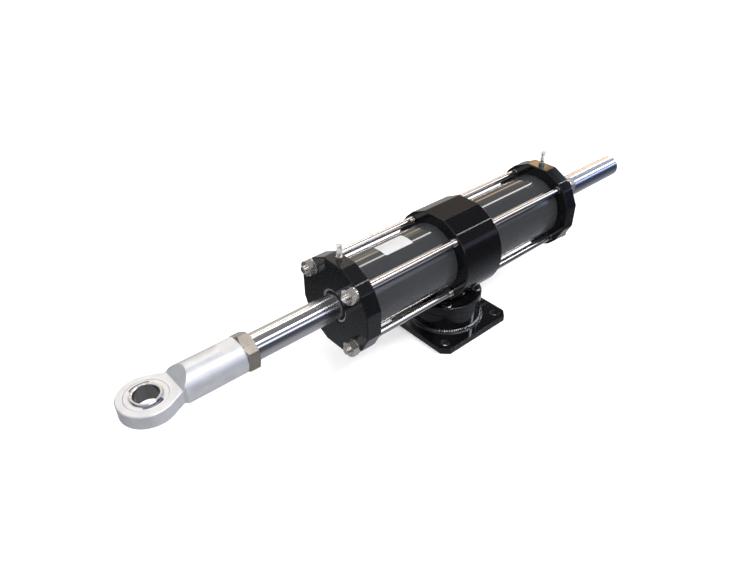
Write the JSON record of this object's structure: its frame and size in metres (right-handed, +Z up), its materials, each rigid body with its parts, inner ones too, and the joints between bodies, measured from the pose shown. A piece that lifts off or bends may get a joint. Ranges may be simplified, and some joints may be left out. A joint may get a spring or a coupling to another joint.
{
  "type": "hydraulic steering cylinder",
  "caption": "Double-rod hydraulic steering cylinder with faceted end caps, tie rods and a centre block that swivels on a bolted foot, and a spherical-bearing rod end.",
  "frame": {"origin": "centre of the foot plate's underside, on the swivel axis and in the middle of its four bolt holes", "axes": "+X along the cylinder from the rod end's eye to the plain end of the rod, +Z up along the swivel axis, away from the mounting face, +Y towards the side with the oil ports"},
  "size_m": [0.784, 0.12, 0.185],
  "materials": {
    "black_paint": "gloss black paint",
    "grey_paint": "gloss dark grey paint",
    "black_steel": "blackened steel",
    "bronze": "turned bronze",
    "turned_steel": "turned",
    "spring_steel": "bright",
    "hard_chrome": "ground and chromed",
    "slide_plastic": "filled plastic",
    "plain_steel": "plain machined",
    "zinc_steel": "satin zinc plate",
    "bearing_steel": "ground bearing steel",
    "stainless": "bright stainless",
    "bleed_steel": "plated",
    "seal_rubber": "moulded",
    "clear_plastic": "clear moulded"
  },
  "bodies": {
    "foot": {"base_plate": "black_paint", "swivel_cup": "black_paint", "weld_bead": "black_paint", "swivel_bush": "bronze", "lower_thrust_washer": "bronze", "upper_thrust_washer": "bronze", "retainer_ring": "black_paint", "retainer_screws": "black_steel"},
    "cylinder": {"centre_block": "black_paint", "pivot_pin": "turned_steel", "barrel": "grey_paint", "front_cap": "black_paint", "front_rod_bush": "bronze", "front_rod_seal": "seal_rubber", "front_wiper": "seal_rubber", "front_gland_circlip": "spring_steel", "front_barrel_o_ring": "seal_rubber", "front_tie_rods": "stainless", "front_tie_nuts": "stainless", "front_tie_washers": "stainless", "rear_cap": "black_paint", "rear_rod_bush": "bronze", "rear_rod_seal": "seal_rubber", "rear_wiper": "seal_rubber", "rear_gland_circlip": "spring_steel", "rear_barrel_o_ring": "seal_rubber", "rear_tie_rods": "stainless", "rear_tie_nuts": "stainless", "rear_tie_washers": "stainless"},
    "rod": {"piston_rod": "hard_chrome", "piston": "turned_steel", "piston_seal": "slide_plastic", "wear_rings": "slide_plastic", "piston_circlips": "spring_steel", "lock_nut": "plain_steel", "rod_end": "zinc_steel", "eye_race": "zinc_steel"},
    "eye_bearing": {"eye_ball": "bearing_steel"},
    "front_bleed": {"front_bleed_screw": "bleed_steel"},
    "front_dust_cap": {"front_dust_cap": "clear_plastic"},
    "rear_bleed": {"rear_bleed_screw": "bleed_steel"},
    "rear_dust_cap": {"rear_dust_cap": "clear_plastic"}
  },
  "joints": [
    {"name": "foot_swivel", "type": "hinge", "parent": "foot", "child": "cylinder", "pos_m": [0, 0, 0.03], "axis": [0, 0, 1], "continuous": true},
    {"name": "rod_slide", "type": "slide", "parent": "cylinder", "child": "rod", "axis": [1, 0, 0], "range_m": [-0.156, 0.094]},
    {"name": "eye_swivel", "type": "hinge", "parent": "rod", "child": "eye_bearing", "pos_m": [-0.403, 0, 0.108], "axis": [0, 0, 1], "continuous": true},
    {"name": "front_bleed_turn", "type": "hinge", "parent": "cylinder", "child": "front_bleed", "pos_m": [-0.173, 0, 0.16437], "axis": [0, 0, 1], "range_deg": [0, 360]},
    {"name": "front_dust_cap_pull", "type": "slide", "parent": "front_bleed", "child": "front_dust_cap", "axis": [0, 0, 1], "range_m": [0, 0.016]},
    {"name": "rear_bleed_turn", "type": "hinge", "parent": "cylinder", "child": "rear_bleed", "pos_m": [0.173, 0, 0.16437], "axis": [0, 0, 1], "range_deg": [0, 360]},
    {"name": "rear_dust_cap_pull", "type": "slide", "parent": "rear_bleed", "child": "rear_dust_cap", "axis": [0, 0, 1], "range_m": [0, 0.016]}
  ]
}
